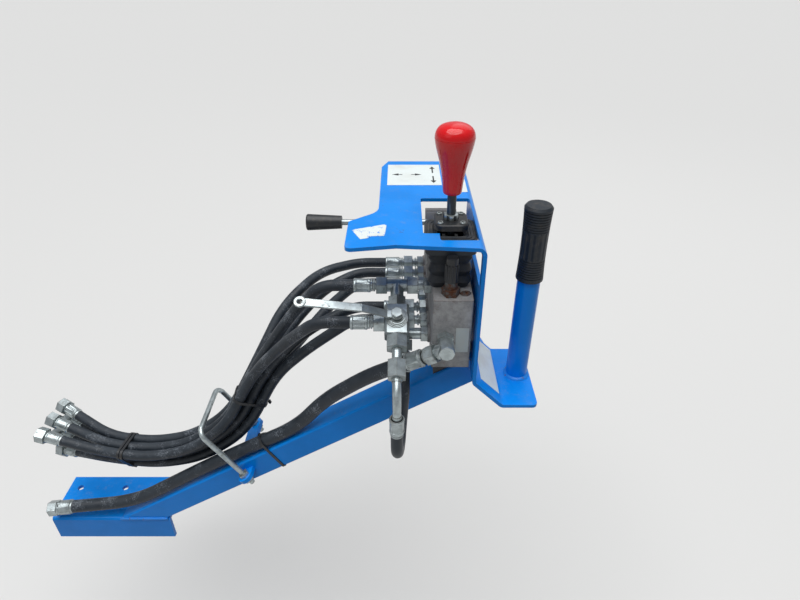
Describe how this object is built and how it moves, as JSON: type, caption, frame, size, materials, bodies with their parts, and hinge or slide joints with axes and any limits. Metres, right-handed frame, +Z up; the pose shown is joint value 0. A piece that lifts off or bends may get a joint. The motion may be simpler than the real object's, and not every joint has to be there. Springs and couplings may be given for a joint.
{
  "type": "hydraulic control station on a support arm",
  "caption": "Vehicle-mounted hydraulic control station: joystick and lever valve bank under a folded guard, hand post, hoses and ties on a slanting arm with a bolted foot.",
  "frame": {"origin": "middle of the foot's line of bolt holes, at the plate's underside", "axes": "+X along the foot towards the valve bank, +Y away from the operator, +Z up"},
  "size_m": [0.978, 0.4655, 0.885],
  "materials": {
    "blue_paint": "gloss",
    "valve_castings": "matte",
    "zinc_plated_steel": "satin",
    "black_rubber": "matte",
    "black_plastic": "satin",
    "red_plastic": "gloss"
  },
  "bodies": {
    "station": {"foot": "blue_paint", "arm": "blue_paint", "guard": "blue_paint", "hand_post": "blue_paint", "hoop_lugs": "blue_paint", "valve_inlet": "valve_castings", "valve_sections": "valve_castings", "valve_end_cover": "valve_castings", "bank_spacers": "zinc_plated_steel", "relief_valve": "zinc_plated_steel", "joystick_mount": "zinc_plated_steel", "port_adapters": "zinc_plated_steel", "port_plug": "zinc_plated_steel", "tee": "zinc_plated_steel", "diverter_body": "zinc_plated_steel", "diverter_outlet": "zinc_plated_steel", "swan_pipe": "zinc_plated_steel", "lever_bracket": "zinc_plated_steel", "pressure_elbow": "zinc_plated_steel", "return_elbow": "zinc_plated_steel", "hoop": "zinc_plated_steel", "hoop_nuts": "zinc_plated_steel", "hose_nuts": "zinc_plated_steel", "hose_ferrules": "zinc_plated_steel", "end_ferrules": "zinc_plated_steel", "end_nuts": "zinc_plated_steel", "hand_grip": "black_rubber", "boot": "black_rubber", "bank_pad": "black_rubber", "hose_a": "black_rubber", "hose_b": "black_rubber", "hose_c": "black_rubber", "hose_d": "black_rubber", "hose_e": "black_rubber", "hose_f": "black_rubber", "hose_g": "black_rubber", "hose_h": "black_rubber", "hose_return": "black_rubber", "relief_cap": "black_plastic", "ties": "black_plastic"},
    "cross": {"joystick_cross": "zinc_plated_steel"},
    "joystick": {"joystick_stick": "zinc_plated_steel", "swash_plate": "zinc_plated_steel", "joystick_knob": "red_plastic"},
    "diverter_lever": {"diverter_handle": "zinc_plated_steel"},
    "section_lever": {"side_lever": "zinc_plated_steel", "side_lever_grip": "black_plastic"}
  },
  "joints": [
    {"name": "joystick_forward", "type": "hinge", "parent": "station", "child": "cross", "pos_m": [0.694, -0.036, 0.65], "axis": [1, 0, 0], "range_deg": [-11, 11], "stiffness_Nm_per_rad": 5},
    {"name": "joystick_sideways", "type": "hinge", "parent": "cross", "child": "joystick", "pos_m": [0.694, -0.036, 0.65], "axis": [0, 1, 0], "range_deg": [-11, 11], "stiffness_Nm_per_rad": 5},
    {"name": "diverter_turn", "type": "hinge", "parent": "station", "child": "diverter_lever", "pos_m": [0.61, -0.09532, 0.53726], "axis": [0, -0.4695, 0.8829], "range_deg": [0, 90]},
    {"name": "section_lever_turn", "type": "hinge", "parent": "station", "child": "section_lever", "pos_m": [0.694, 0.041, 0.641], "axis": [0, 0, 1], "range_deg": [-12, 12], "stiffness_Nm_per_rad": 2}
  ]
}
